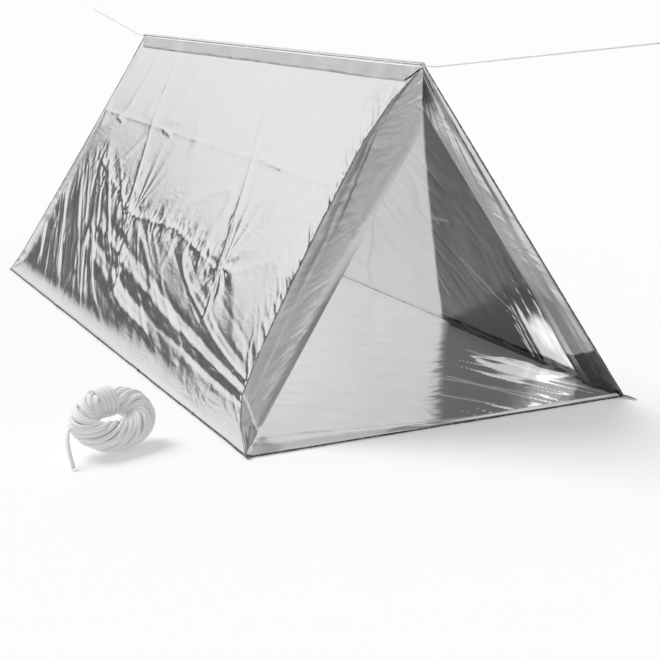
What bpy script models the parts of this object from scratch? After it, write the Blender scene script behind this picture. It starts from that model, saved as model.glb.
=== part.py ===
"""A reflective film tube shelter (bivy sack), pitched as an A-frame over its ridge cord.

Frame: metres, +Z up, +X across the floor, +Y along the ridge towards the rear. The origin is the centre of
the floor sheet's underside. Seen from the front, the left wall folds about the left base line, and the right
wall folds about its base line and about a lengthwise crease, so the shelter drops flat beside its floor.
Each end has a collar of four flaps, turned inwards, that swing about seams along the sheets' end edges.
"""

import math

import bmesh
import bpy
from mathutils import Matrix, Vector

# Driving dimensions of the pitched shelter.
FLOOR_WIDTH = 1.00
FLOOR_LENGTH = 2.17
RIDGE_HEIGHT = 0.807
FRONT_APEX_SETBACK = 0.14
REAR_APEX_SETBACK = 0.075
FLAP_WIDTH = 0.13

# Angle of each collar flap from its sheet's plane, turned inwards.
SIDE_FLAP_TURN = math.radians(138)
RIGHT_FLAP_TURN = math.radians(165)
FLOOR_FLAP_TURN = math.radians(175)

# Sheet, seams and the gaps that keep neighbours apart.
FILM_THICKNESS = 0.0015
BASE_SEAM_RADIUS = 0.003
BASE_SEAM_LIFT = 0.001
FLOOR_SEAM_HEIGHT = 0.0022
FLAP_SEAM_RADIUS = 0.002
SEAM_GAP = 0.0006
CREASE_GAP = 0.002
CREASE_AXIS_INSET = 0.0012
CREASE_SEAM_GAP = 0.022
FLAP_START = 0.008
CORNER_CLEARANCE = 0.020
FLAP_HINGE_START = 0.055
FLAP_CORNER_CUT = 0.105
FLAP_RIDGE_GAP = 0.003

# Ridge fittings and cord.
TUNNEL_RADIUS = 0.007
TUNNEL_WALL = 0.002
RIDGE_STRIP_WIDTH = 0.030
RIDGE_STRIP_THICKNESS = 0.001
RIDGE_STRIP_TAPER = 0.060
CORD_RADIUS = 0.0015
KNOT_RADIUS = 0.006
KNOT_OFFSET = 0.022
CORD_STRAIGHT = 0.050
FRONT_CORD_REACH = 0.80
REAR_CORD_REACH = 0.62
CORD_RISE = 0.08

# Corner and tie tabs.
TAB_ROOT = 0.0165
TAB_TIP = Vector((0.024, 0.026))
TIE_TAB_SIZE = Vector((0.016, 0.012, 0.002))
TIE_TAB_HEIGHT = 0.24

# Hank of spare cord, beside the left wall near the front.
HANK_CENTRE = Vector((-0.735, -0.888, 0.066))
HANK_HALF_LENGTH = 0.076
HANK_HALF_WIDTH = 0.052
HANK_BUNDLE_RADIUS = 0.029
HANK_TILT = math.radians(44)
HANK_WRAP_RADIUS = 0.034
HANK_TAIL_RADIUS = 0.0045

ENDS = ((-1, "front"), (1, "rear"))
HALF_WIDTH = FLOOR_WIDTH / 2
HALF_LENGTH = FLOOR_LENGTH / 2
AXIS_HEIGHT = BASE_SEAM_RADIUS + BASE_SEAM_LIFT
WALL_RISE = RIDGE_HEIGHT - AXIS_HEIGHT
WALL_SLANT = math.hypot(HALF_WIDTH, WALL_RISE)
LOWER_SLANT = WALL_SLANT - HALF_WIDTH
FRONT_APEX = Vector((0, -HALF_LENGTH + FRONT_APEX_SETBACK, RIDGE_HEIGHT))
REAR_APEX = Vector((0, HALF_LENGTH - REAR_APEX_SETBACK, RIDGE_HEIGHT))
FLAP_SEAM_EDGE = FLAP_SEAM_RADIUS + SEAM_GAP
BASE_SEAM_EDGE = BASE_SEAM_RADIUS + SEAM_GAP
RIDGE_EDGE = TUNNEL_RADIUS + SEAM_GAP


def clear_scene():
    for old in list(bpy.data.objects):
        bpy.data.objects.remove(old, do_unlink=True)


def finish(name, color, metallic, roughness):
    """One Principled material."""
    material = bpy.data.materials.new(name)
    material.use_nodes = True
    shader = material.node_tree.nodes["Principled BSDF"]
    shader.inputs["Base Color"].default_value = (*color, 1)
    shader.inputs["Metallic"].default_value = metallic
    shader.inputs["Roughness"].default_value = roughness
    return material


def add_pivot(name, point, parent=None):
    """An empty on a joint's axis; the pieces that turn about that axis hang from it."""
    empty = bpy.data.objects.new(name, None)
    bpy.context.scene.collection.objects.link(empty)
    empty.parent = parent
    empty.location = Vector(point) - (world_place(parent) if parent else Vector())
    return empty


def world_place(item):
    """Place of an object whose parents are moved but never turned."""
    place = Vector()
    while item is not None:
        place += item.location
        item = item.parent
    return place


def add_piece(name, mesh, pivot, material):
    """Hang a mesh, given in world coordinates, from its pivot."""
    mesh.transform(Matrix.Translation(-world_place(pivot)))
    mesh.materials.append(material)
    piece = bpy.data.objects.new(name, mesh)
    piece.parent = pivot
    bpy.context.scene.collection.objects.link(piece)
    return piece


def add_sheet(name, outline, pivot, material, thickness=FILM_THICKNESS):
    """A flat sheet of film, centred on its outline."""
    mesh = bpy.data.meshes.new(name)
    mesh.from_pydata([tuple(p) for p in outline], [], [range(len(outline))])
    piece = add_piece(name, mesh, pivot, material)
    solid = piece.modifiers.new("thickness", "SOLIDIFY")
    solid.thickness = thickness
    solid.offset = 0
    return piece


def along(start, end):
    """Turns a +Z rod centred on the origin onto the line between two points."""
    direction = end - start
    turn = direction.to_track_quat("Z", "Y").to_matrix().to_4x4()
    return Matrix.Translation((start + end) / 2) @ turn


def add_rod(name, start, end, radius, pivot, material, sides=12):
    """A round seam bead between two points."""
    shape = bmesh.new()
    bmesh.ops.create_cone(
        shape, cap_ends=True, segments=sides, radius1=radius, radius2=radius,
        depth=(end - start).length, matrix=along(start, end))
    mesh = bpy.data.meshes.new(name)
    shape.to_mesh(mesh)
    shape.free()
    return add_piece(name, mesh, pivot, material)


def add_cord(name, points, radius, pivot, material):
    """A round cord through a few points, with filled ends."""
    curve = bpy.data.curves.new(name, "CURVE")
    curve.dimensions = "3D"
    curve.bevel_depth = radius
    curve.bevel_resolution = 1
    curve.use_fill_caps = True
    line = curve.splines.new("POLY")
    line.points.add(len(points) - 1)
    origin = world_place(pivot)
    for target, point in zip(line.points, points):
        target.co = (*(point - origin), 1)
    curve.materials.append(material)
    piece = bpy.data.objects.new(name, curve)
    piece.parent = pivot
    bpy.context.scene.collection.objects.link(piece)
    return piece


class Wall:
    """The plane of one side wall: distances run up the slope from the base line, and along Y."""

    def __init__(self, side):
        self.side = side
        self.base_x = side * HALF_WIDTH
        self.up = Vector((-side * HALF_WIDTH, 0, WALL_RISE)) / WALL_SLANT
        self.inward = Vector((-side * WALL_RISE, 0, -HALF_WIDTH)) / WALL_SLANT

    def point(self, slope, y, lift=0.0):
        """A point on the wall, lifted outwards from it."""
        return Vector((self.base_x, y, AXIS_HEIGHT)) + self.up * slope - self.inward * lift

    def edge_y(self, slope, end):
        """Y of the slanting end edge; end is -1 at the front and 1 at the rear."""
        setback = FRONT_APEX_SETBACK if end < 0 else REAR_APEX_SETBACK
        return end * (HALF_LENGTH - setback * slope / WALL_SLANT)

    def sheet_outline(self, low, high):
        """The wall between two distances up the slope, held back from the flap seams at both ends."""
        corners = []
        for slope, end in ((low, -1), (high, -1), (high, 1), (low, 1)):
            corners.append(self.point(slope, self.edge_y(slope, end) - end * FLAP_SEAM_EDGE * 1.02))
        return corners

    def end_edge(self, end):
        """Foot and direction of the end edge, its length, and the way out of the wall's plane past it."""
        foot = self.point(0, self.edge_y(0, end))
        top = self.point(WALL_SLANT, self.edge_y(WALL_SLANT, end))
        direction = (top - foot).normalized()
        outward = self.inward.cross(direction)
        if outward.y * end < 0:
            outward.negate()
        return foot, direction, (top - foot).length, outward


def add_floor(pivot, film, seam, tab):
    inset = BASE_SEAM_EDGE
    x, y, z = HALF_WIDTH - inset, HALF_LENGTH - FLAP_SEAM_EDGE, FILM_THICKNESS / 2
    outline = [Vector(p) for p in ((-x, -y, z), (x, -y, z), (x, y, z), (-x, y, z))]
    add_sheet("floor_sheet", outline, pivot, film)
    reach = HALF_LENGTH - CORNER_CLEARANCE
    for side, label in ((-1, "left"), (1, "right")):
        front = Vector((side * HALF_WIDTH, -reach, AXIS_HEIGHT))
        rear = Vector((side * HALF_WIDTH, reach, AXIS_HEIGHT))
        add_rod(f"{label}_base_seam", front, rear, BASE_SEAM_RADIUS, pivot, seam)
        for end, end_label in ENDS:
            add_corner_tab(f"{end_label}_{label}_corner_tab", side, end, pivot, tab)


def add_corner_tab(name, side, end, pivot, material):
    """A pointed tab that wraps one floor corner and runs out past it."""
    clear_x = HALF_WIDTH - BASE_SEAM_EDGE + SEAM_GAP
    clear_y = HALF_LENGTH - FLAP_SEAM_EDGE + SEAM_GAP
    root_x = HALF_WIDTH - TAB_ROOT
    root_y = HALF_LENGTH - TAB_ROOT
    outline = [
        (root_x, clear_y), (clear_x, clear_y), (clear_x, root_y),
        (HALF_WIDTH + BASE_SEAM_EDGE, root_y),
        (HALF_WIDTH + TAB_TIP.x, HALF_LENGTH + TAB_TIP.y),
        (root_x, HALF_LENGTH + BASE_SEAM_EDGE),
    ]
    points = [Vector((side * x, end * y, FILM_THICKNESS / 2)) for x, y in outline]
    add_sheet(name, points, pivot, material)


def add_flap(prefix, corner, direction, outward, inward, turn, hinge_span, free_span, pivot, film, seam):
    """A seam bead on the hinge line, and the flap that swings about it.

    The bead stays on the wall. The spans are distances from the corner along the hinge line, and the flap
    is a trapezoid between them.
    """
    middle = corner + direction * sum(hinge_span) / 2
    flap_pivot = add_pivot(f"{prefix}_flap_axis", middle, pivot)
    start, end = (corner + direction * s for s in hinge_span)
    add_rod(f"{prefix}_flap_seam", start, end, FLAP_SEAM_RADIUS, pivot, seam, sides=8)
    across = outward * math.cos(turn) + inward * math.sin(turn)
    outline = [
        start + across * FLAP_START,
        end + across * FLAP_START,
        corner + direction * free_span[1] + across * FLAP_WIDTH,
        corner + direction * free_span[0] + across * FLAP_WIDTH,
    ]
    add_sheet(f"{prefix}_flap", outline, flap_pivot, film)


def ridge_mitre(foot, direction, outward, inward, turn, gap):
    """How far along the end edge the flap's free edge runs before it meets the plane under the ridge."""
    across = outward * math.cos(turn) + inward * math.sin(turn)
    target = math.copysign(gap, foot.x)
    return (target - foot.x - across.x * FLAP_WIDTH) / direction.x


def add_left_wall(pivot, film):
    wall = Wall(-1)
    outline = wall.sheet_outline(BASE_SEAM_EDGE, WALL_SLANT - RIDGE_EDGE)
    add_sheet("left_wall_sheet", outline, pivot, film)
    return wall


def add_ridge(wall, pivot, tunnel_material, strip_material):
    """The sleeve that the cord runs through, and the doubled strip on the wall below it."""
    start = FRONT_APEX + Vector((0, CORNER_CLEARANCE, 0))
    end = REAR_APEX - Vector((0, CORNER_CLEARANCE, 0))
    shape = bmesh.new()
    bmesh.ops.create_cone(
        shape, cap_ends=False, segments=16, radius1=TUNNEL_RADIUS, radius2=TUNNEL_RADIUS,
        depth=(end - start).length, matrix=along(start, end))
    mesh = bpy.data.meshes.new("ridge_tunnel")
    shape.to_mesh(mesh)
    shape.free()
    tunnel = add_piece("ridge_tunnel", mesh, pivot, tunnel_material)
    wall_of_tunnel = tunnel.modifiers.new("wall", "SOLIDIFY")
    wall_of_tunnel.thickness = TUNNEL_WALL
    wall_of_tunnel.offset = -1

    high = WALL_SLANT - RIDGE_EDGE - CREASE_GAP
    low = high - RIDGE_STRIP_WIDTH
    lift = FILM_THICKNESS / 2 + SEAM_GAP + RIDGE_STRIP_THICKNESS / 2
    outline = []
    for slope, end in ((high, -1), (low, -1), (low, 1), (high, 1)):
        y = wall.edge_y(slope, end) - end * CORNER_CLEARANCE
        if slope == low:
            y -= end * RIDGE_STRIP_TAPER
        outline.append(wall.point(slope, y, lift))
    add_sheet("ridge_strip", outline, pivot, strip_material, RIDGE_STRIP_THICKNESS)


def add_ridge_cord(pivot, material, knot_material):
    """The cord: straight inside the sleeve, and rising to its anchors past each end."""
    front_bend = FRONT_APEX - Vector((0, CORD_STRAIGHT, 0))
    rear_bend = REAR_APEX + Vector((0, CORD_STRAIGHT, 0))
    points = [
        FRONT_APEX + Vector((0, -FRONT_CORD_REACH, CORD_RISE)),
        front_bend, rear_bend,
        REAR_APEX + Vector((0, REAR_CORD_REACH, CORD_RISE)),
    ]
    add_cord("ridge_cord", points, CORD_RADIUS, pivot, material)
    for label, apex, end in (("front", FRONT_APEX, -1), ("rear", REAR_APEX, 1)):
        centre = apex + Vector((0, end * (KNOT_OFFSET - CORNER_CLEARANCE), 0))
        add_knot(f"{label}_stop_knot", centre, pivot, knot_material)


def add_knot(name, centre, pivot, material):
    """A rounded ring of turns around the cord, too wide to enter the sleeve."""
    inner = CORD_RADIUS + SEAM_GAP
    tube = (KNOT_RADIUS - inner) / 2
    mesh = ring_mesh(name, inner + tube, inner + tube, tube, 14, 8)
    mesh.transform(Matrix.Translation(centre) @ Matrix.Rotation(math.pi / 2, 4, "X"))
    add_piece(name, mesh, pivot, material)


def ring_mesh(name, half_length, half_width, radius, steps, sides, squash=1.0):
    """A closed ring swept along an ellipse in the XY plane by a round section, flattened by squash."""
    shape = bmesh.new()
    loops = []
    for step in range(steps):
        angle = 2 * math.pi * step / steps
        centre = Vector((half_length * math.cos(angle), half_width * math.sin(angle), 0))
        normal = Vector((half_width * math.cos(angle), half_length * math.sin(angle), 0)).normalized()
        loop = []
        for side in range(sides):
            turn = 2 * math.pi * side / sides
            offset = normal * radius * math.cos(turn)
            offset.z = radius * squash * math.sin(turn)
            loop.append(shape.verts.new(centre + offset))
        loops.append(loop)
    for step in range(steps):
        near, far = loops[step], loops[(step + 1) % steps]
        for side in range(sides):
            other = (side + 1) % sides
            shape.faces.new((near[side], far[side], far[other], near[other]))
    bmesh.ops.recalc_face_normals(shape, faces=shape.faces)
    mesh = bpy.data.meshes.new(name)
    shape.to_mesh(mesh)
    shape.free()
    return mesh


def add_hank(pivot, material):
    """A tilted bundle of spare cord, the turns that bind it, and its loose tail."""
    place = (Matrix.Translation(HANK_CENTRE)
             @ Matrix.Rotation(math.radians(18), 4, "Z")
             @ Matrix.Rotation(HANK_TILT, 4, "X"))
    coil = ring_mesh("hank_coil", HANK_HALF_LENGTH, HANK_HALF_WIDTH, HANK_BUNDLE_RADIUS, 32, 12)
    coil.transform(place)
    add_piece("hank_coil", coil, pivot, material)

    wrap_thickness = HANK_WRAP_RADIUS - HANK_BUNDLE_RADIUS
    middle = HANK_WRAP_RADIUS + wrap_thickness / 2
    wrap = ring_mesh("hank_wrap", middle, middle, wrap_thickness / 2, 24, 8, squash=5.0)
    at_bundle = Matrix.Translation((0, HANK_HALF_WIDTH, 0)) @ Matrix.Rotation(math.pi / 2, 4, "Y")
    wrap.transform(place @ at_bundle)
    add_piece("hank_wrap", wrap, pivot, material)

    start = place @ Vector((-HANK_HALF_LENGTH - HANK_BUNDLE_RADIUS - HANK_TAIL_RADIUS * 2, 0, 0))
    ground = HANK_TAIL_RADIUS + SEAM_GAP
    points = [start, Vector((start.x - 0.010, start.y - 0.070, ground))]
    add_cord("hank_tail", points, HANK_TAIL_RADIUS, pivot, material)


def add_tie_tab(name, wall, end, pivot, material):
    """A small tab on the outside of the right wall, just behind its end edge."""
    length, height, thickness = TIE_TAB_SIZE
    lift = FILM_THICKNESS / 2 + SEAM_GAP + thickness / 2
    edge = wall.edge_y(TIE_TAB_HEIGHT, end) - end * FLAP_SEAM_EDGE * 2
    outline = []
    for slope, y in (
        (TIE_TAB_HEIGHT, edge), (TIE_TAB_HEIGHT + height, edge),
        (TIE_TAB_HEIGHT + height, edge - end * length), (TIE_TAB_HEIGHT, edge - end * length),
    ):
        outline.append(wall.point(slope, y, lift))
    add_sheet(name, outline, pivot, material, thickness)


def add_side_collar(wall, end, label, bodies, film, seam):
    """The flaps along one wall's end edge: one on the left wall, two on the creased right wall."""
    foot, direction, length, outward = wall.end_edge(end)
    turn = SIDE_FLAP_TURN if wall.side < 0 else RIGHT_FLAP_TURN
    top = ridge_mitre(foot, direction, outward, wall.inward, turn, FLAP_RIDGE_GAP)
    crease = length * LOWER_SLANT / WALL_SLANT
    if wall.side < 0:
        add_flap(f"{label}_left", foot, direction, outward, wall.inward, turn,
                 (FLAP_HINGE_START, length - CORNER_CLEARANCE), (FLAP_CORNER_CUT, top),
                 bodies["left_wall"], film, seam)
        return
    below, above = crease - CREASE_SEAM_GAP, crease + CREASE_SEAM_GAP
    add_flap(f"{label}_right_lower", foot, direction, outward, wall.inward, turn,
             (FLAP_HINGE_START, below), (FLAP_CORNER_CUT, below),
             bodies["right_wall_lower"], film, seam)
    add_flap(f"{label}_right_upper", foot, direction, outward, wall.inward, turn,
             (above, length - CORNER_CLEARANCE), (above, top),
             bodies["right_wall_upper"], film, seam)


def add_floor_flap(end, label, pivot, film, seam):
    """The collar's fourth flap, folded back over the floor."""
    corner = Vector((-HALF_WIDTH, end * HALF_LENGTH, FLOOR_SEAM_HEIGHT))
    add_flap(f"{label}_floor", corner, Vector((1, 0, 0)), Vector((0, end, 0)), Vector((0, 0, 1)),
             FLOOR_FLAP_TURN, (FLAP_HINGE_START, FLOOR_WIDTH - FLAP_HINGE_START),
             (FLAP_CORNER_CUT, FLOOR_WIDTH - FLAP_CORNER_CUT), pivot, film, seam)


def build():
    clear_scene()
    film = finish("reflective_film", (0.80, 0.81, 0.82), 1.0, 0.18)
    strip = finish("film_strip", (0.62, 0.63, 0.64), 1.0, 0.30)
    seam = finish("seam_edge", (0.16, 0.16, 0.17), 0.3, 0.45)
    tab = finish("corner_tab", (0.25, 0.25, 0.26), 0.4, 0.40)
    cord = finish("cord", (0.90, 0.90, 0.89), 0.0, 0.75)
    knot = finish("cord_knot", (0.20, 0.20, 0.21), 0.0, 0.70)

    floor = add_pivot("floor_origin", (0, 0, 0))
    left = add_pivot("left_base_axis", (-HALF_WIDTH, 0, AXIS_HEIGHT), floor)
    lower = add_pivot("right_base_axis", (HALF_WIDTH, 0, AXIS_HEIGHT), floor)
    right = Wall(1)
    upper = add_pivot("right_crease_axis", right.point(LOWER_SLANT, 0, -CREASE_AXIS_INSET), lower)
    bodies = {"left_wall": left, "right_wall_lower": lower, "right_wall_upper": upper}

    add_floor(floor, film, seam, tab)
    wall = add_left_wall(left, film)
    add_ridge(wall, left, film, strip)
    low_outline = right.sheet_outline(BASE_SEAM_EDGE, LOWER_SLANT - CREASE_GAP)
    add_sheet("right_wall_lower_sheet", low_outline, lower, film)
    high_outline = right.sheet_outline(LOWER_SLANT + CREASE_GAP, WALL_SLANT - RIDGE_EDGE)
    add_sheet("right_wall_upper_sheet", high_outline, upper, film)
    for end, label in ENDS:
        add_side_collar(wall, end, label, bodies, film, seam)
        add_side_collar(right, end, label, bodies, film, seam)
        add_floor_flap(end, label, floor, film, seam)
        add_tie_tab(f"{label}_tie_tab", right, end, lower, tab)

    cord_slide = add_pivot("ridge_cord_slide", FRONT_APEX, left)
    add_ridge_cord(cord_slide, cord, knot)
    hank = add_pivot("hank_place", HANK_CENTRE, floor)
    add_hank(hank, cord)


build()
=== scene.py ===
"""Looks of the reflective film shelter: crumpled film sheets, collars, hems, cord and a hank of spare cord.

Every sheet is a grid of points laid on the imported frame's planes and lifted by a relief, which is a sum of
creases, streaks, drape folds and crumples. Lengths are metres. On a wall, "along" is the distance towards
the rear (the frame's Y) and "slope" is the distance up the wall from its base line.
"""

import math

import bpy
import numpy as np
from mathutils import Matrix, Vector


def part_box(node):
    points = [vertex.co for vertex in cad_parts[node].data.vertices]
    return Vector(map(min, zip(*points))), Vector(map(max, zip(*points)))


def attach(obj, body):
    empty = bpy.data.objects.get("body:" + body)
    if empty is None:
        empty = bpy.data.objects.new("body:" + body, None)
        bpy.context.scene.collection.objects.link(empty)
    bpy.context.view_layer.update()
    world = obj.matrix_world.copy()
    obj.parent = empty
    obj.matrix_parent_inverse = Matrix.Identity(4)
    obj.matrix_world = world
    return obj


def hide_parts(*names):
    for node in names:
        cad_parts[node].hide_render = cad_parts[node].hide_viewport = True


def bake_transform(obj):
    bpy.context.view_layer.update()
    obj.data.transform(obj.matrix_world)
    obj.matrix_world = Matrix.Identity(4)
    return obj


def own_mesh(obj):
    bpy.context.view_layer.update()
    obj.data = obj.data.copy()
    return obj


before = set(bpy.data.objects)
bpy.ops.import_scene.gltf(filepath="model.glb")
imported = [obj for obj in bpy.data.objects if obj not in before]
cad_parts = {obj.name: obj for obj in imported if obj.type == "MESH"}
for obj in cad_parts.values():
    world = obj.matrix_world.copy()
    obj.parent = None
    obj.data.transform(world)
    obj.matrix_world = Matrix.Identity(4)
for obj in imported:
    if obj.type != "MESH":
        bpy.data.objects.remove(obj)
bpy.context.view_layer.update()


def centre(node):
    low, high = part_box(node)
    return np.array((low + high) / 2)


# The places that everything is laid on: the frame's own, and a few small distances.
HALF_WIDTH = -centre("left_base_seam")[0]
BASE_HEIGHT = centre("left_base_seam")[2]
FRONT = centre("front_floor_flap_seam")[1]
REAR = centre("rear_floor_flap_seam")[1]
RIDGE_HEIGHT = centre("ridge_tunnel")[2]
SLEEVE_SETBACK = 0.020
FRONT_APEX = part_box("ridge_tunnel")[0].y - SLEEVE_SETBACK
REAR_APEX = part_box("ridge_tunnel")[1].y + SLEEVE_SETBACK
SLANT = math.hypot(HALF_WIDTH, RIDGE_HEIGHT - BASE_HEIGHT)
# The right wall folds here, so that the tube's two layers are equally wide when it lies flat.
CREASE = SLANT - HALF_WIDTH
FLAP_WIDTH = 0.13
FLOOR_FILM_HEIGHT = 0.0012
BASE_SEAM_COVER = 0.0060
LOWEST_COLLAR = 0.0020
GROUND = -0.0005
ALONG = np.array([0, 1, 0])
SIDES = ((-1, "left"), (1, "right"))
ENDS = ((-1, "front"), (1, "rear"))

# Rows along the ridge and columns across it. A sheet is exported as triangles, 200,000 at most.
LEFT_WALL_GRID = (480, 196)
RIGHT_WALL_GRID = (400, 170)
FLOOR_GRID = (420, 230)
RIDGE_ROWS = 420
COLLAR_ROWS = 300
COLLAR_COLUMNS = 56

# The rear end's collar pulls its wall back less than the front one's, by this share.
REAR_PULL = 0.15

# The film's inner side is painted: painted light on the rear part stands for light through the film, and
# painted shade on the front part.
LIT_TONE = 0.62
SHADE_START = -0.22
SHADE_ROUND_OFF = 0.02

# Each seed has one table of noise; the shift keeps places positive.
NOISE_CELLS = 64
NOISE_SHIFT = 500
FOLD_SHARPNESS = 2.6

# Sets a flap's own pattern of fine wrinkles apart from its sheet's.
PATTERN_SHIFT = 3.0


# ---- relief tools

def smooth(value, low, high):
    """0 below low, 1 above high (or the other way round if low > high), with soft ends."""
    t = np.clip((value - low) / (high - low), 0, 1)
    return t * t * (3 - 2 * t)


def triangle(phase):
    """A folded-paper wave between -1 and 1, with one fold per whole number."""
    return 4 * np.abs(phase - np.floor(phase + 0.5)) - 1


def noise(u, v, seed):
    """Smooth seeded noise between -1 and 1, with one feature per unit of u and v."""
    table = np.random.default_rng(seed).uniform(-1, 1, (NOISE_CELLS, NOISE_CELLS))
    u, v = np.broadcast_arrays(np.asarray(u, float) + NOISE_SHIFT, np.asarray(v, float) + NOISE_SHIFT)
    column, row = np.floor(u).astype(int), np.floor(v).astype(int)
    a, b = u - column, v - row
    a, b = a * a * (3 - 2 * a), b * b * (3 - 2 * b)
    column, row = column % NOISE_CELLS, row % NOISE_CELLS
    right, above = (column + 1) % NOISE_CELLS, (row + 1) % NOISE_CELLS
    low = table[column, row] * (1 - a) + table[right, row] * a
    high = table[column, above] * (1 - a) + table[right, above] * a
    return low * (1 - b) + high * b


def folds(u, v, seed):
    """Noise with sharp crests, like creased foil: 1 on a crest, falling away on both sides."""
    return 1 - FOLD_SHARPNESS * np.abs(noise(u, v, seed))


def sparse(u, v, seed, flat=0.4):
    """Creases with flat film between them: 0 on the flats and 1 on a crest."""
    return np.maximum(folds(u, v, seed) - flat, 0) / (1 - flat)


def hump(distance, width):
    """1 at distance 0, falling away softly over the width."""
    return np.exp(-(distance / width) ** 2)


def crumple(u, v, size, seed, octaves=3):
    """Creased facets in all directions, about one per size; each octave is turned, finer and weaker."""
    total, weight = 0, 1
    for octave in range(octaves):
        turn = 0.7 + 1.9 * octave
        a = (u * math.cos(turn) + v * math.sin(turn)) / size
        b = (v * math.cos(turn) - u * math.sin(turn)) / size
        warp = 0.35 * noise(a * 0.6, b * 0.6, seed + 50)
        total = total + weight * folds(a + warp, b - warp, seed + octave)
        size, weight = size / 1.9, weight / 1.9
    return total


def path_distance(u, v, path):
    """Distance from each point to a line of straight pieces."""
    nearest = np.full(np.broadcast(u, v).shape, 1e9)
    for (u0, v0), (u1, v1) in zip(path, path[1:]):
        du, dv = u1 - u0, v1 - v0
        t = np.clip(((u - u0) * du + (v - v0) * dv) / (du * du + dv * dv), 0, 1)
        nearest = np.minimum(nearest, np.hypot(u - u0 - t * du, v - v0 - t * dv))
    return nearest


def thin_lines(u, v, lines, width):
    """1 on thin lines and 0 away from them; they mask painted glints along creases."""
    return np.minimum(sum(hump(path_distance(u, v, line), width) for line in lines), 1)


def crushed(near, flakes):
    """1 on the flakes of a crushed patch and 0 away; near is 1 in its middle. It masks painted light."""
    return smooth(near + 0.55 * flakes - 0.5, 0.12, 0.34)


def crease(u, v, path, width):
    """A raised line with a sharp crest that falls away over the width."""
    return np.exp(-path_distance(u, v, path) / width)


def fan(u, v, middle, reach, rays, seed):
    """Creases that spread from one point, such as where two packing folds cross."""
    du, dv = u - middle[0], v - middle[1]
    distance = np.hypot(du, dv)
    around = rays / (2 * math.pi)
    ray = folds(around * du / (distance + 1e-6), around * dv / (distance + 1e-6) + distance / reach / 3, seed)
    return ray * np.minimum(distance / reach * 2, 1) * np.exp(-distance / reach)


# ---- mesh tools

def stack(*parts):
    """Points, or places along the film, from one array or number for each of their coordinates."""
    return np.stack(np.broadcast_arrays(*parts), -1)


def new_object(name, data):
    made = bpy.data.objects.new(name, data)
    bpy.context.scene.collection.objects.link(made)
    return made


def grid(name, points, uv, close=False, flip=False, **shades):
    """A smooth sheet from rows and columns of points; uv holds the same places in metres along the film.

    Each shade is a number, or one for each point, that the material reads by its name.
    """
    rows, columns = points.shape[:2]
    index = np.arange(rows * columns).reshape(rows, columns)
    if close:
        index = np.concatenate([index, index[:1]])
    if flip:
        index = index[::-1]
    quads = stack(index[:-1, :-1], index[1:, :-1], index[1:, 1:], index[:-1, 1:]).reshape(-1, 4)
    mesh = bpy.data.meshes.new(name)
    mesh.vertices.add(rows * columns)
    mesh.vertices.foreach_set("co", points.astype(np.float32).ravel())
    mesh.loops.add(quads.size)
    mesh.loops.foreach_set("vertex_index", quads.ravel().astype(np.int32))
    mesh.polygons.add(len(quads))
    mesh.polygons.foreach_set("loop_start", np.arange(0, quads.size, 4, dtype=np.int32))
    mesh.update(calc_edges=True)
    mesh.shade_smooth()
    layer = mesh.uv_layers.new(name="metres")
    layer.data.foreach_set("uv", uv.reshape(-1, 2)[quads.ravel()].astype(np.float32).ravel())
    for key, values in shades.items():
        shade = mesh.attributes.new(key, "FLOAT", "POINT")
        shade.data.foreach_set("value", np.broadcast_to(values, (rows, columns)).astype(np.float32).ravel())
    return new_object(name, mesh)


def unit(vectors):
    return vectors / np.linalg.norm(vectors, axis=-1, keepdims=True)


def tube(name, path, radius, sides=10, closed=False):
    """A round strand along a path; uv holds the metres along it and the share of a turn around it."""
    path = np.asarray(path, float)
    if closed:
        step = np.roll(path, -1, 0) - np.roll(path, 1, 0)
    else:
        step = np.gradient(path, axis=0)
    forward = unit(step)
    side = np.zeros_like(path)
    start = np.cross(forward[0], (0.3, 0.2, 0.93))
    side[0] = unit(start)
    for i in range(1, len(path)):
        carried = side[i - 1] - forward[i] * (side[i - 1] @ forward[i])
        side[i] = unit(carried)
    turn = np.linspace(0, 2 * math.pi, sides + 1)
    if closed:
        last = side[-1] - forward[0] * (side[-1] @ forward[0])
        slip = math.atan2(np.cross(side[0], last) @ forward[0], side[0] @ last)
    else:
        slip = 0
    drift = -slip * np.linspace(0, 1, len(path))[:, None]
    up = np.cross(forward, side)
    radius = np.broadcast_to(radius, len(path))[:, None, None]
    angle = turn[None] + drift
    ring = np.cos(angle)[..., None] * side[:, None] + np.sin(angle)[..., None] * up[:, None]
    points = path[:, None] + radius * ring
    length = np.concatenate([[0], np.cumsum(np.linalg.norm(np.diff(path, axis=0), axis=1))])
    uv = stack(length[:, None], turn[None] / (2 * math.pi))
    return grid(name, points, uv, close=closed)


def join(name, pieces):
    """One object from several; the first one's data comes first."""
    bpy.ops.object.select_all(action="DESELECT")
    for piece in pieces:
        piece.select_set(True)
    bpy.context.view_layer.objects.active = pieces[0]
    bpy.ops.object.join()
    pieces[0].name = name
    pieces[0].data.name = name
    return pieces[0]


# ---- materials

def node(tree, kind, inputs=None, **settings):
    """Add a shader node; an input is a value or another node's output."""
    made = tree.nodes.new("ShaderNode" + kind)
    for key, value in settings.items():
        setattr(made, key, value)
    for key, value in (inputs or {}).items():
        if isinstance(value, bpy.types.NodeSocket):
            tree.links.new(value, made.inputs[key])
        else:
            made.inputs[key].default_value = value
    return made


def new_material(name):
    material = bpy.data.materials.new(name)
    material.use_nodes = True
    material.node_tree.nodes.clear()
    return material, material.node_tree


def add_surface(tree, inputs):
    """A principled surface as the material's output."""
    surface = node(tree, "BsdfPrincipled", inputs).outputs[0]
    node(tree, "OutputMaterial", {"Surface": surface})


def math_node(tree, operation, first, second=0.0):
    return node(tree, "Math", {0: first, 1: second}, operation=operation).outputs[0]


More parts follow.
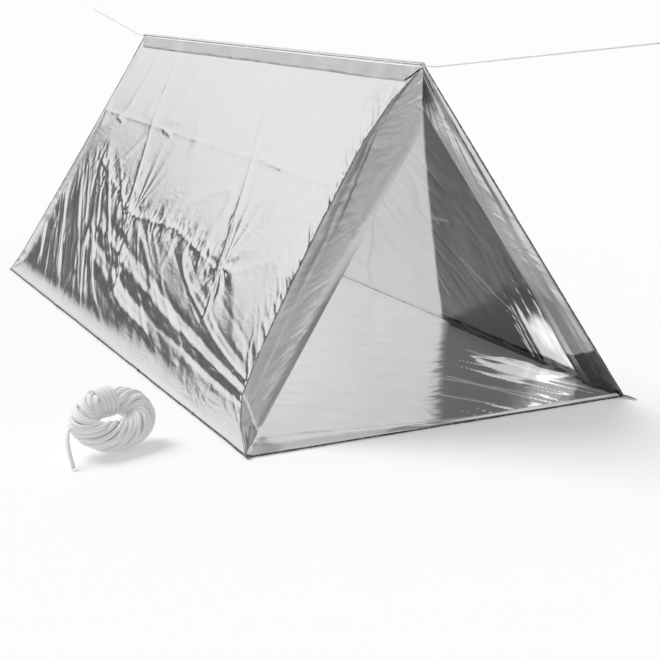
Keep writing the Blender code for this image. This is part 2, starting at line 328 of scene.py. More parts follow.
def remap(tree, value, low, high, to_low=0.0, to_high=1.0):
    """Stretch the range from low to high onto the range from to_low to to_high, and clip it there."""
    return node(tree, "MapRange", {0: value, 1: low, 2: high, 3: to_low, 4: to_high}).outputs[0]


def mix_colours(tree, factor, first, second):
    inputs = {"Factor": factor, 6: (*first, 1), 7: (*second, 1)}
    return node(tree, "Mix", inputs, data_type="RGBA").outputs[2]


def film_metres(tree):
    return node(tree, "UVMap", uv_map="metres").outputs["UV"]


def object_place(tree):
    return node(tree, "TexCoord").outputs["Object"]


def noise_value(tree, vector, scale, detail=2.0, distortion=0.0):
    inputs = {"Vector": vector, "Scale": scale, "Detail": detail, "Distortion": distortion}
    return node(tree, "TexNoise", inputs).outputs["Fac"]


def film_material(name, reflectance, roughness, wrinkle, both_sides=False):
    """Metallised film: a mirror coat with fine creases, micro wrinkles and a slightly uneven sheen.

    The sheet's "tone" darkens the film's colour as painted shade, and its "glow" is an emission that stands
    for light through the film as painted light, on its inner side or on both sides.
    """
    material, tree = new_material(name)
    metres = film_metres(tree)
    slanted = {"Vector": metres, "Scale": (0.35, 1.0, 1.0), "Rotation": (0, 0, math.radians(24))}
    stretched = node(tree, "Mapping", slanted).outputs["Vector"]
    ripple = noise_value(tree, stretched, 42.0, 4.0, 0.6)
    crisp = math_node(tree, "ABSOLUTE", math_node(tree, "SUBTRACT", ripple, 0.5))
    grain = noise_value(tree, metres, 260.0, 3.0)
    sheen = noise_value(tree, metres, 9.0, 3.0)
    patchy = remap(tree, noise_value(tree, metres, 3.5, 2.0), 0.35, 0.7, 0.25, 1.0)
    creased = node(tree, "Bump", {"Height": crisp, "Distance": 0.004,
                                  "Strength": math_node(tree, "MULTIPLY", patchy, wrinkle)})
    grained = node(tree, "Bump", {"Height": grain, "Distance": 0.0004, "Strength": 0.20,
                                  "Normal": creased.outputs["Normal"]})
    rough = remap(tree, sheen, 0.3, 0.7, roughness * 0.8, roughness * 1.25)
    bright = remap(tree, sheen, 0.25, 0.75, reflectance * 0.96, reflectance)
    shaded_side = 1.0 if both_sides else node(tree, "NewGeometry").outputs["Backfacing"]
    # Painted shade: the sheet's tone darkens the colour on the painted side.
    tone = node(tree, "Attribute", attribute_name="tone").outputs["Fac"]
    side_tone = node(tree, "Mix", {0: shaded_side, 2: 1.0, 3: tone}).outputs[0]
    value = math_node(tree, "MULTIPLY", bright, side_tone)
    colour = node(tree, "CombineColor", {0: value, 1: value, 2: value}).outputs[0]
    # Painted light: the sheet's glow is an emission, though the film is no lamp.
    glow = node(tree, "Attribute", attribute_name="glow").outputs["Fac"]
    add_surface(tree, {
        "Base Color": colour, "Metallic": 1.0, "Roughness": rough, "Emission Color": (1, 1, 1, 1),
        "Emission Strength": math_node(tree, "MULTIPLY", shaded_side, glow),
        "Normal": grained.outputs["Normal"]})
    return material


def edge_material(name, dark, light, roughness):
    """A folded, heat-sealed edge: dark tape with worn metallic flecks."""
    material, tree = new_material(name)
    wear = remap(tree, noise_value(tree, object_place(tree), 160.0, 4.0), 0.52, 0.64)
    ribbed = node(tree, "Mapping", {"Vector": film_metres(tree), "Scale": (240, 3, 1)}).outputs[0]
    ribs = noise_value(tree, ribbed, 1.0)
    bump = node(tree, "Bump", {"Height": ribs, "Distance": 0.0008, "Strength": 0.6})
    add_surface(tree, {
        "Base Color": mix_colours(tree, wear, dark, light),
        "Metallic": math_node(tree, "MULTIPLY", wear, 0.8),
        "Roughness": roughness, "Normal": bump.outputs[0]})
    return material


def cord_material(name, colour, pitch, strands):
    """Laid white cord: strands wound round each other, fine fibres, a soft sheen, painted shade in the
    grooves.
    """
    material, tree = new_material(name)
    parts = node(tree, "SeparateXYZ", {"Vector": film_metres(tree)})
    along, around = parts.outputs[0], parts.outputs[1]
    winding = math_node(tree, "ADD", math_node(tree, "DIVIDE", along, pitch), around)
    phase = math_node(tree, "FRACT", math_node(tree, "MULTIPLY", winding, strands))
    from_groove = math_node(tree, "PINGPONG", phase, 0.5)
    round_top = math_node(tree, "POWER", math_node(tree, "MULTIPLY", from_groove, 2.0), 0.5)
    fibres = noise_value(tree, object_place(tree), 900.0, 3.0)
    relief = math_node(tree, "ADD", round_top, math_node(tree, "MULTIPLY", fibres, 0.25))
    bump = node(tree, "Bump", {"Height": relief, "Distance": 0.0007, "Strength": 0.35})
    # Painted shade: the grooves between the strands are darker.
    groove_shade = tuple(0.78 * part for part in colour)
    add_surface(tree, {
        "Base Color": mix_colours(tree, round_top, groove_shade, colour), "Roughness": 0.62,
        "Sheen Weight": 0.25, "Normal": bump.outputs[0]})
    return material


# Film: reflectance, roughness and strength of the small wrinkles. Edges: dark and light colour, and
# roughness. Cord: colour, pitch of the lay and number of strands.
FILM = film_material("film_outer", 0.86, 0.15, 0.34)
INNER = film_material("film_inner", 0.86, 0.22, 0.22)
FLAP = film_material("film_flap", 0.70, 0.36, 0.40, both_sides=True)
BAND = film_material("film_band", 0.74, 0.32, 0.35)
EDGE = edge_material("sealed_edge", (0.035, 0.035, 0.037), (0.32, 0.32, 0.33), 0.42)
HEM = edge_material("folded_hem", (0.16, 0.16, 0.165), (0.62, 0.62, 0.63), 0.30)
TAPE = edge_material("tab_tape", (0.07, 0.07, 0.072), (0.25, 0.25, 0.26), 0.38)
CORD = cord_material("white_cord", (0.93, 0.93, 0.92), 0.018, 3)
THIN_CORD = cord_material("ridge_cord", (0.72, 0.72, 0.72), 0.007, 3)


def dress(piece, material, slot_name, body, *nodes):
    """Give a piece its material, and put it on its body in place of its CAD nodes; its slot name is not used.

    A piece that has None as its body is put on no body.
    """
    piece.data.materials.append(material)
    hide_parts(*nodes)
    if body:
        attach(piece, body)


# ---- walls

class Wall:
    """One sloping side: side is -1 for the left wall and 1 for the right wall."""

    def __init__(self, side):
        rise = RIDGE_HEIGHT - BASE_HEIGHT
        self.side = side
        self.base = np.array([side * HALF_WIDTH, 0, BASE_HEIGHT])
        self.up = np.array([-side * HALF_WIDTH, 0, rise]) / SLANT
        self.out = np.array([side * rise, 0, HALF_WIDTH]) / SLANT

    def edge(self, slope, end):
        """The straight end edge's place along the ridge, at a slope distance."""
        foot, apex = (FRONT, FRONT_APEX) if end < 0 else (REAR, REAR_APEX)
        return foot + (apex - foot) * slope / SLANT

    def place(self, along, slope, lift):
        """Points on the wall, lifted off its plane towards the outside."""
        along, slope, lift = np.broadcast_arrays(along, slope, lift)
        flat = self.base + slope[..., None] * self.up + lift[..., None] * self.out
        return flat + along[..., None] * ALONG


LEFT, RIGHT = Wall(-1), Wall(1)


def scallop(slope):
    """How far the left wall's front edge is pulled back from the straight line by its collar."""
    shares = (0.0, 0.05, 0.107, 0.23, 0.41, 0.56, 0.79, 0.90, 1.0)
    pulls = (0.0, 0.088, 0.140, 0.150, 0.146, 0.138, 0.112, 0.072, 0.0)
    return np.interp(slope / SLANT, shares, pulls)


def left_edges(slope):
    """The left wall film's front and rear edges."""
    return LEFT.edge(slope, -1) + scallop(slope), LEFT.edge(slope, 1) - REAR_PULL * scallop(slope)


def edge_fade(along, slope, front, rear, reach=0.012):
    """0 on a sheet's edges and 1 inside."""
    fade = smooth(slope, 0, reach) * smooth(SLANT - slope, 0, reach)
    return fade * smooth(along - front, 0, reach) * smooth(rear - along, 0, reach)


def scaled(*places):
    """Places given as (along, share of the slant), as (along, slope)."""
    return [(along, share * SLANT) for along, share in places]


def left_foot(along, share):
    """The film is drawn in above the left wall's foot, so the foot flares out onto the ground."""
    flare = 0.0085 + 0.0045 * smooth(along, 0.0, 0.9) - 0.0025 * smooth(along, -0.2, -0.9)
    reach = 0.062 + 0.030 * smooth(along, 0.2, -0.7)
    foot = np.minimum(share / reach, 1)
    return -flare * (1.6 * foot - 0.6 * foot ** 2.5) * smooth(share, 1.0, 0.10)


def left_packing_folds(along, slope):
    """One packing fold along the wall, two across it, and a crushed one lower down."""
    lengthwise = scaled((-0.98, 0.655), (0.0, 0.672), (1.03, 0.69))
    lower = scaled((-0.51, 0.34), (-0.10, 0.40), (0.27, 0.38), (0.83, 0.52))
    across_rear = scaled((0.59, 0.95), (0.51, 0.70), (0.35, 0.43), (0.11, 0.16))
    across_front = scaled((-0.26, 0.83), (-0.34, 0.66), (-0.47, 0.38), (-0.54, 0.22))
    lower_part = smooth(slope / SLANT, 0.72, 0.40)
    lift = 0.0009 * crease(along, slope, lengthwise, 0.005)
    for start, end in ((-0.53, -0.36), (0.30, 0.38), (0.78, 0.84)):
        lift += 0.0016 * crease(along, slope, scaled((start, 0.664), (end, 0.676)), 0.004)
    for path in (across_rear, across_front):
        lift += 0.0026 * (0.30 + 0.70 * lower_part) * crease(along, slope, path, 0.008)
    lift += 0.0018 * crease(along, slope, lower, 0.008)
    beside_lower = hump(path_distance(along, slope, lower), 0.045)
    beside_across = hump(path_distance(along, slope, across_rear), 0.04)
    beside_across += hump(path_distance(along, slope, across_front), 0.04)
    lift += 0.0011 * beside_lower * crumple(along, slope, 0.050, 20)
    lift += 0.0006 * beside_across * crumple(along, slope, 0.045, 24) * lower_part
    for spot in scaled((0.27, 0.38), (-0.49, 0.36)):
        lift += 0.0026 * fan(along, slope, spot, 0.09, 15, 30)
    return lift


def left_looseness(along, share):
    """1 below a slanting line, where the film is loose, and 0 above it, where it is tight."""
    line = np.interp(along, (-0.97, -0.85, -0.47, -0.21, 0.27, 0.83, 1.05),
                     (0.10, 0.24, 0.36, 0.37, 0.42, 0.56, 0.44))
    return smooth(line - share, -0.06, 0.08)


def left_streaks(along, slope):
    """Long streaks in the loose film, which run down towards the front corner."""
    run = along + 0.95
    flow = slope - 0.15 * run - 0.16 * run * run
    wander = 0.02 * noise(along / 0.3, flow / 0.1, 40)
    streaks = 0.0026 * sparse(along / 0.40, (flow + wander) / 0.085, 41, 0.45)
    streaks += 0.0013 * sparse(along / 0.26, (flow + wander) / 0.042, 42, 0.45)
    streaks += 0.0006 * sparse(along / 0.14, flow / 0.021, 43, 0.30)
    streaks -= 0.0012 * sparse(along / 0.33, (flow - wander) / 0.055, 45, 0.5)
    return streaks * (0.50 + 0.35 * smooth(along, -0.1, 0.5)) * smooth(slope / SLANT, 0.03, 0.10)


def left_drape(along, share):
    """Long drape folds between two curves that meet near the front corner."""
    upper = np.interp(along, (-0.95, -0.70, -0.35, 0.08, 0.60), (0.10, 0.115, 0.15, 0.20, 0.29))
    lower = np.interp(along, (-0.95, -0.63, 0.0, 0.61), (0.060, 0.065, 0.095, 0.20))
    phase = (share - lower) / (upper - lower)
    drape = smooth(along, 0.68, 0.35) * smooth(phase, -0.25, 0.15) * smooth(phase, 2.2, 1.3)
    drape = drape * (1 - smooth(along, -0.10, -0.45) * smooth(phase, 0.60, 0.25))
    bends = np.sin(2 * math.pi * phase + 0.9 * noise(along / 0.3, phase, 44))
    uneven = 0.75 + 0.5 * noise(along / 0.35, phase / 2, 49)
    return 0.0017 * drape * bends * np.abs(bends) * uneven


def left_puckers(along, slope, front, rear):
    """Puckers that run down the slope beside the front hem and the rear edge."""
    lift = 0
    for offset, amount, reach, seed in ((along - front, 0.0026, 0.045, 46), (rear - along, 0.0009, 0.03, 47)):
        pucker = sparse((offset + 0.3 * slope) / 0.09, (slope - 0.9 * offset) / 0.017, seed, 0.1)
        lift = lift + amount * pucker * np.exp(-offset / reach)
    return lift * smooth(slope / SLANT, 0.02, 0.12)


def left_relief(along, slope):
    """Lift of the left wall's film off its plane, towards the outside."""
    share = slope / SLANT
    front, rear = left_edges(slope)
    loose = left_looseness(along, share)
    sag = 0.0014 * noise(along / 0.5, slope / 0.33, 1) + 0.0004 * noise(along / 0.16, slope / 0.3, 2)
    soft = 0.0010 * sparse(along / 0.22, (slope + 0.5 * along) / 0.11, 48, 0.2) * (1 - loose)
    lift = sag + left_foot(along, share) + left_packing_folds(along, slope)
    lift += loose * left_streaks(along, slope) + left_drape(along, share)
    lift += left_puckers(along, slope, front, rear) + soft
    return lift * edge_fade(along, slope, front, rear)


def wall_grid(front, rear, slopes, rows):
    """Rows of points from the front edge to the rear edge, and one column for each slope distance."""
    share = np.linspace(0, 1, rows)[:, None]
    return front + (rear - front) * share, np.broadcast_to(slopes, (rows, len(slopes)))


def add_left_wall():
    rows, columns = LEFT_WALL_GRID
    slopes = np.linspace(0.002, SLANT - 0.006, columns)
    along, slope = wall_grid(*left_edges(slopes), slopes, rows)
    place = LEFT.place(along, slope, left_relief(along, slope))
    # The wall's inner side gets a little painted shade (tone) and painted light (glow).
    wall = grid("left_wall_film", place, stack(along, slope), flip=True, tone=0.95, glow=0.05)
    dress(wall, FILM, "film", "left_wall", "left_wall_sheet")
    flatten_with_wall(wall, LEFT)


def flatten_with_wall(piece, wall):
    """Give the piece its own copy of its mesh."""
    tuple(wall.out)
    tuple(wall.base)
    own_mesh(piece)


def right_relief(along, slope):
    """Lift towards the outside; the same film is seen from within through the front opening."""
    front, rear = RIGHT.edge(slope, -1), RIGHT.edge(slope, 1)
    lift = 0.0010 * noise(along / 0.6, slope / 0.4, 60)
    lift += 0.0009 * crease(along, slope, [(-1.04, CREASE), (1.05, CREASE)], 0.006)
    lift += 0.0007 * crease(along, slope, scaled((-0.98, 0.75), (1.03, 0.76)), 0.006)
    for path in (((0.02, 0.27), (-0.08, 0.14), (-0.17, 0.02)), ((-0.63, 0.26), (-0.80, 0.17), (-0.86, 0.10)),
                 ((0.55, 0.95), (0.45, 0.55), (0.40, 0.05)), ((-0.35, 0.95), (-0.42, 0.5), (-0.5, 0.05))):
        lift += 0.0012 * crease(along, slope, scaled(*path), 0.007)
    crushed_path = scaled((-0.97, 0.42), (-0.80, 0.20), (-0.78, 0.05))
    near = hump(path_distance(along, slope, crushed_path), 0.11)
    wander = 0.03 * noise(along / 0.3, slope / 0.2, 67)
    lift += 0.0024 * sparse((along + 0.3 * slope + wander) / 0.15, (slope - 0.2 * along) / 0.45, 66, 0.3)
    lift += 0.0013 * sparse((along - 0.5 * slope - wander) / 0.085, (slope + 0.3 * along) / 0.24, 68, 0.3)
    lift += 0.0009 * crumple(along, slope, 0.12, 55) * (0.5 + 0.5 * noise(along / 0.35, slope / 0.3, 59))
    lift += 0.0024 * near * sparse((slope + 0.4 * along) / 0.16, along / 0.045, 61, 0.1)
    lift += 0.0012 * near * sparse((slope + 0.3 * along) / 0.09, along / 0.020, 65, 0.1)
    for offset, seed in ((along - front, 62), (rear - along, 63)):
        pucker = folds(offset / 0.10, (slope + 0.35 * offset) / 0.022, seed)
        lift += 0.0009 * pucker * np.exp(-offset / 0.05)
    return lift * edge_fade(along, slope, front, rear)


def right_shades(along, slope):
    """Painted shade and painted light (tone and glow) on the right wall's inner side."""
    share = slope / SLANT
    shade_line = SHADE_START - 0.64 * share - 0.07 * share ** 2
    shaded = smooth(shade_line - along, -0.004, 0.004)
    lit = 1 - shaded
    # Painted light on the crushed patch near the front corner: it is lighter and glows.
    near = hump(along + 0.80 + 0.25 * share, 0.12) * hump(share - 0.10, 0.17)
    crush_light = crushed(near, sparse((slope + 0.3 * along) / 0.16, along / 0.020, 64, 0.0))
    # Painted glints: thin bright lines along creases in the shaded part.
    glint_lines = (((-0.28, 0.455), (-0.62, 0.470)), ((-0.58, 0.33), (-0.76, 0.13)),
                 ((-0.36, 0.44), (-0.37, 0.14)), ((-0.50, 0.72), (-0.52, 0.60)),
                 ((-0.55, 0.62), (-0.56, 0.45)))
    bright = thin_lines(along, share, glint_lines, 0.0040) * shaded
    # Painted shade: a wrinkle in the lit part is drawn darker.
    wrinkle_path = ((-0.32, 0.60), (-0.02, 0.27), (0.16, 0.12), (0.22, 0.03))
    wrinkle = hump(path_distance(along, share, wrinkle_path), 0.006) * lit
    # A painted dark line of shade runs along the wall's foot in its shaded part.
    foot = smooth(slope, 0.026, 0.020) * smooth(along, SHADE_START + SHADE_ROUND_OFF,
                                                SHADE_START - SHADE_ROUND_OFF)
    tone = LIT_TONE - 0.54 * shaded + 0.60 * crush_light
    glow = (0.25 * lit + 0.044 * shaded + 0.50 * crush_light + 0.12 * bright) * (1 - 0.35 * wrinkle)
    return tone * (1 - 0.8 * foot), glow * (1 - 0.85 * foot)


def add_right_wall():
    rows, columns = RIGHT_WALL_GRID
    slopes = np.linspace(0.002, SLANT - 0.010, columns)
    along, slope = wall_grid(RIGHT.edge(slopes, -1), RIGHT.edge(slopes, 1), slopes, rows)
    # The inner side gets its painted shade and painted light here.
    tone, glow = right_shades(along, slope)
    place = RIGHT.place(along, slope, right_relief(along, slope))
    wall = grid("right_wall_film", place, stack(along, slope), tone=tone, glow=glow)
    dress(wall, INNER, "film", None, "right_wall_lower_sheet", "right_wall_upper_sheet")
    half_bend = 0.015
    start, end = RIGHT.place(0, CREASE - half_bend, 0), RIGHT.place(0, CREASE + half_bend, 0)
    tuple(start)
    tuple(end)
    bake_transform(wall)


# ---- floor

def floor_height(x, y):
    """The height of the floor's film: packing folds, wrinkles and a crumpled right front part."""
    lift = 0.0010 + 0.0008 * noise(x / 0.3, y / 0.5, 70)
    packing_folds = (((-0.5, -0.35), (0.5, -0.38)), ((-0.5, 0.45), (0.5, 0.43)), ((0.0, -1.08), (0.02, 1.08)))
    wrinkles = (((0.48, -0.27), (0.36, -0.06), (0.22, -0.02), (0.10, 0.08)), ((0.23, -0.64), (0.28, -1.0)))
    for path in wrinkles + packing_folds:
        lift = lift + 0.0012 * crease(x, y, path, 0.006)
    right_front = smooth(x, 0.05, 0.30) * smooth(y, -0.45, -0.75)
    large = sparse((x - 0.3 * y) / 0.05, (y + 0.2 * x) / 0.14, 71, 0.1)
    small = sparse((x - 0.5 * y) / 0.022, y / 0.09, 75, 0.1)
    lift = lift + right_front * (0.0022 * (0.5 + 0.5 * large) + 0.0008 * small)
    lift = lift + 0.0006 * sparse((x + 0.6 * y) / 0.06, y / 0.3, 72, 0.2) * smooth(y, 0.2, -0.6)
    fade = smooth(HALF_WIDTH - np.abs(x), 0, 0.02) * smooth(y - FRONT, 0, 0.02) * smooth(REAR - y, 0, 0.02)
    height = FLOOR_FILM_HEIGHT + np.maximum(lift, -0.0006) * fade
    # Beside the base seams the film turns up and covers them from within.
    return height + BASE_SEAM_COVER * smooth(np.abs(x), HALF_WIDTH - 0.0125, HALF_WIDTH - 0.0058)


def floor_shades(x, y):
    """Painted shade on the floor's inner side's right front part, and painted light (glow) on the rest."""
    edge_y, edge_x = (-1.09, -0.97, -0.51, -0.27, SHADE_START), (-0.03, 0.04, 0.32, 0.48, 0.50)
    ragged = 0.035 * sparse(x / 0.2, y / 0.016, 73, 0.2) * smooth(y, -0.35, -0.6)
    shaded = smooth(x - np.interp(y, edge_y, edge_x) + ragged, -0.012, 0.020)
    shaded = shaded * smooth(y, SHADE_START + SHADE_ROUND_OFF, SHADE_START - SHADE_ROUND_OFF)
    # Painted light on the crushed patch at the right front.
    near = hump(x - 0.40, 0.10) * hump(y + 0.80 + 0.5 * (x - 0.40), 0.15)
    near = near + 0.55 * hump(x - 0.25, 0.16) * hump(y + 1.03, 0.05)
    crush_light = crushed(near, sparse((x + 0.35 * y) / 0.024, (y - 0.2 * x) / 0.13, 74, 0.0)) * shaded
    # Painted glints: thin bright lines along creases in the shade.
    glint_lines = (((0.12, -0.66), (0.33, -1.02)), ((0.07, -0.82), (0.18, -1.00)),
                 ((0.20, -0.75), (0.28, -1.00)), ((0.38, -0.55), (0.46, -0.98)))
    bright = thin_lines(x, y, glint_lines, 0.0048) * shaded
    # A painted dark line of shade along the foot of the right wall.
    foot = smooth(x, HALF_WIDTH - 0.017, HALF_WIDTH - 0.012) * shaded
    tone = LIT_TONE - 0.36 * shaded + 0.50 * crush_light
    glow = 0.265 * (1 - shaded) + 0.098 * shaded + 0.42 * crush_light + 0.14 * bright
    return tone * (1 - 0.8 * foot), glow * (1 - 0.85 * foot)


def add_floor():
    rows, columns = FLOOR_GRID
    # The columns stand closer together towards the sides, where the film turns up.
    steepest = 0.45 * math.pi
    spread = np.sin(np.linspace(-1, 1, columns) * steepest)[None] / math.sin(steepest)
    y = np.linspace(FRONT + 0.001, REAR - 0.001, rows)[:, None]
    x = (HALF_WIDTH - 0.0055) * spread
    # The inner side gets its painted shade and painted light here.
    tone, glow = floor_shades(x, y)
    floor = grid("floor_film", stack(x, y, floor_height(x, y)), stack(y, x), tone=tone, glow=glow)
    dress(floor, INNER, "film", "floor", "floor_sheet")


# ---- collars

def left_collar(slope, end):
    """The left collar's hinge, middle and free edges: it hangs inwards, level with the apex."""
    edge = LEFT.place(LEFT.edge(slope, end), slope, 0)
    pulled = scallop(slope) * (1 if end < 0 else REAR_PULL)
    hinge = edge - end * pulled[..., None] * ALONG
    apex = FRONT_APEX if end < 0 else REAR_APEX
    low = np.array([-0.40, apex - end * 0.013, 0.012])
    high = np.array([-0.003, apex, RIDGE_HEIGHT - 0.143])
    free = low + (high - low) * (slope / SLANT)[..., None]
    return hinge, hinge + 0.62 * (edge - hinge) + 0.18 * (free - hinge), free


def right_collar(slope, end):
    """The right collar lies back against its wall."""
    share = slope / SLANT
    edge = RIGHT.place(RIGHT.edge(slope, end), slope, 0)
    back = np.interp(share, (0, 0.15, 0.33, 0.90, 1.0), (0.125, 0.118, 0.092, 0.080, 0.020))
    inward = 0.020 * smooth(share, 1.0, 0.85) + 0.004
    free = edge - end * back[..., None] * ALONG - inward[..., None] * RIGHT.out
    middle = edge + 0.4 * (free - edge) - 0.010 * RIGHT.out
    return edge, middle, free


def flap_wrinkles(run, width, seed):
    """Fine wrinkles that slant from the free edge down to the hinge."""
    bend = 0.02 * noise(run / 0.12, width / 0.08, seed + 5)
    slanted = run - 1.5 * width
    fine = 0.0017 * folds(width / 0.13, (slanted + bend) / 0.044, seed)
    fine = fine + 0.0017 * sparse(width / 0.09, (slanted - bend) / 0.024, seed + 1, 0.2)
    return fine + 0.0009 * sparse(width / 0.06, (run - 1.1 * width) / 0.011, seed + 3, 0.1)


def left_pleats(run, width, pleat, seed):
    """Left collar's rolled pleats and foot fold: painted shade on the pleats, painted light on the fold."""
    to_foot_fold = path_distance(run, width, ((0.105, 0.0), (0.0, 0.93 * FLAP_WIDTH)))
    roll = 0.0034 * hump(width - 1.1 * pleat, 0.30 * pleat + 0.002)
    roll = roll + 0.0020 * hump(width - 2.2 * pleat, 0.35 * pleat + 0.002)
    roll = roll + 0.0050 * np.exp(-to_foot_fold / 0.006)
    bend = 0.006 * noise(run / 0.10, 0.3, seed + 7)
    # Painted shade: dark lines along the pleats.
    dark = hump(width - pleat - bend, 0.0060) * smooth(run, 0.30, 0.50)
    dark = dark + hump(width - 2.0 * pleat + bend, 0.0035) * smooth(run, 0.42, 0.55)
    dashes = 0.6 + 0.4 * noise(run / 0.09, width / 0.02, seed + 8)
    tone = 0.90 * (1 - 0.75 * np.clip(dark * dashes, 0, 1))
    # The glow is painted light along the fold at the foot.
    return roll, tone, 0.30 * hump(to_foot_fold, 0.0030)


def right_pleats(run, width, pleat, seed):
    """Right collar's folded pleats: painted shade at its foot, top and on a strip; a little painted light."""
    across, from_apex = width / FLAP_WIDTH, SLANT - run
    phase = width / (1.25 * pleat + 0.004)
    roll = 0.0036 * triangle(0.5 * phase + 0.10 * noise(run / 0.2, phase, seed + 2))
    # Painted shade on a strip across the pleats, at the foot in shadow and at the top.
    strip = smooth(across, 0.12, 0.18) * smooth(across, 0.36, 0.28) * smooth(run, 0.45, 0.62)
    foot = smooth(run + 0.25 * width, 0.146, 0.140) * smooth(across, 0.03, 0.07)
    top = smooth(from_apex, 0.16, 0.07) * smooth(across, 0.3, 0.5)
    tone = 1.05 - 0.78 * np.clip(foot + top + 0.75 * strip, 0, 1)
    return roll, tone, 0.05 * (1 - foot) * smooth(run, 0.75, 0.45)


def add_side_flap(wall, end, label, low, high, seed):
    """A collar flap between two slope distances: a curved sheet from its hinge to its free edge."""
    on_left = wall.side < 0
    run = np.linspace(low, high, int(COLLAR_ROWS * (high - low) / SLANT) + 10)
    edges = (left_collar if on_left else right_collar)(run, end)
    run, across = run[:, None], np.linspace(0, 1, COLLAR_COLUMNS)[None]
    width = FLAP_WIDTH * across
    # Each row of points is a curve from the hinge to the free edge, drawn towards the middle line.
    weights = (1 - across) ** 2, 2 * across * (1 - across), across ** 2
    place = sum(weight[..., None] * edge[:, None] for weight, edge in zip(weights, edges))

    pleat = 0.022 * np.minimum(np.maximum(SLANT - run, 0.02) / 0.45, 1)
    fine = flap_wrinkles(run, width, seed) * (1.0 if on_left else 0.5)
    # The pleats give the flap its painted shade (tone) and painted light (glow).
    roll, tone, glow = (left_pleats if on_left else right_pleats)(run, width, pleat, seed)
    lift = fine * smooth(across, 1.0, 0.45) + roll * smooth(across, 1.0, 0.93)
    lift = lift * smooth(across, 0.0, 0.10)
    along_run, along_width = np.gradient(place, axis=0), np.gradient(place, axis=1)
    normal = unit(np.cross(along_run, along_width) + 1e-12)
    facing = float(np.sign(np.median(normal @ wall.out)))
    place = place - facing * lift[..., None] * normal
    place[..., 2] = np.maximum(place[..., 2], LOWEST_COLLAR)

    uv = stack(run, width + PATTERN_SHIFT)
    flap = grid(f"{label}_film", place, uv, flip=facing < 0, tone=tone, glow=glow)
    dress(flap, FLAP, "film", None, label)
    middle = 0.5
    start = wall.place(wall.edge(middle, end), middle, 0)
    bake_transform(flap)


def add_floor_flap(end, label):
    """The floor's collar lies on the floor, and is wider on the left."""
    x = np.linspace(-HALF_WIDTH + 0.01, HALF_WIDTH - 0.01, 160)[:, None]
    across = np.linspace(0, 1, 30)[None]
    width = (0.022 + 0.078 * smooth(x, 0.12, -0.50)) * across
    x = x * (1 - 0.5 * width / HALF_WIDTH)
    rise = 0.0055 + 0.004 * np.sin(math.pi * np.clip(across * 1.15, 0, 1)) ** 2
    rise = rise + 0.0012 * sparse(x / 0.10, across * 1.5, 80, 0.2) * smooth(across, 0, 0.3)
    depth = abs(FRONT if end < 0 else REAR)
    y = end * (depth - width)
    uv = stack(x, y + PATTERN_SHIFT)
    # Its inner side gets an even painted shade (tone) and painted light (glow).
    flap = grid(f"{label}_film", stack(x, y, rise), uv, flip=end < 0, tone=0.75, glow=0.16)
    dress(flap, INNER, "film", label, label)


# The right wall's end edges are split at the crease: part, its body and its slope distances.
RIGHT_PARTS = (("lower", "right_wall_lower", 0.004, CREASE - 0.0004),
               ("upper", "right_wall_upper", CREASE + 0.0004, SLANT - 0.004))


def add_collars():
    for end, word in ENDS:
        add_side_flap(LEFT, end, f"{word}_left_flap", 0.004, SLANT - 0.002, 90 + end)
        for part, body, low, high in RIGHT_PARTS:
            add_side_flap(RIGHT, end, f"{word}_right_{part}_flap", low, high, 94 + end)
        add_floor_flap(end, f"{word}_floor_flap")


# ---- hems, tabs and ridge

def add_hem(node_name, path, radius, material, body):
    """A folded edge: an uneven bead along a path."""
    path = np.asarray(path, float)
    step = np.arange(len(path))
    uneven = radius * (1 + 0.25 * noise(step / 3.0, 0.5, len(node_name)))
    hem = tube(f"{node_name}_hem", path, uneven, sides=8)
    dress(hem, material, "seam_edge", body, node_name)


def add_base_hems():
    """The dark folded edges along the ground, with a few small knots of gathered film."""
    knots = (0.45, 0.02, -0.35, -0.75)
    for side, word in SIDES:
        y = np.linspace(FRONT + 0.002, REAR - 0.002, 420)
        z = BASE_HEIGHT + 0.0006 * noise(y / 0.05, 0.2, 100 + side)
        x = side * HALF_WIDTH + 0.0008 * noise(y / 0.08, 0.7, 102 + side)
        swell = sum(hump(y - knot, 0.004) for knot in knots)
        radius = 0.0022 * (1 + 0.2 * noise(y / 0.02, 0.3, 104 + side)) + 0.0022 * swell
        hem = tube(f"{word}_base_hem", stack(x, y, z), radius, sides=8)
        dress(hem, EDGE, "seam_edge", "floor", f"{word}_base_seam")


def add_collar_hems():
    """The folded edges round both openings."""
    for end, word in ENDS:
        slopes = np.linspace(0.004, SLANT - 0.004, 200)
        left = LEFT.place(left_edges(slopes)[0 if end < 0 else 1], slopes, 0)
        add_hem(f"{word}_left_flap_seam", left, 0.0012, HEM, "left_wall")
        for part, body, low, high in RIGHT_PARTS:
            slopes = np.linspace(low, high, 110)
            right = RIGHT.place(RIGHT.edge(slopes, end), slopes, 0.0006)
            add_hem(f"{word}_right_{part}_flap_seam", right, 0.0016, EDGE, body)
        x = np.linspace(-HALF_WIDTH + 0.003, HALF_WIDTH - 0.003, 220)
        y = (FRONT if end < 0 else REAR) + 0.0010 * noise(x / 0.06, 0.4, 110 + end)
        add_hem(f"{word}_floor_flap_seam", stack(x, y, 0.0030), 0.0020, EDGE, "floor")


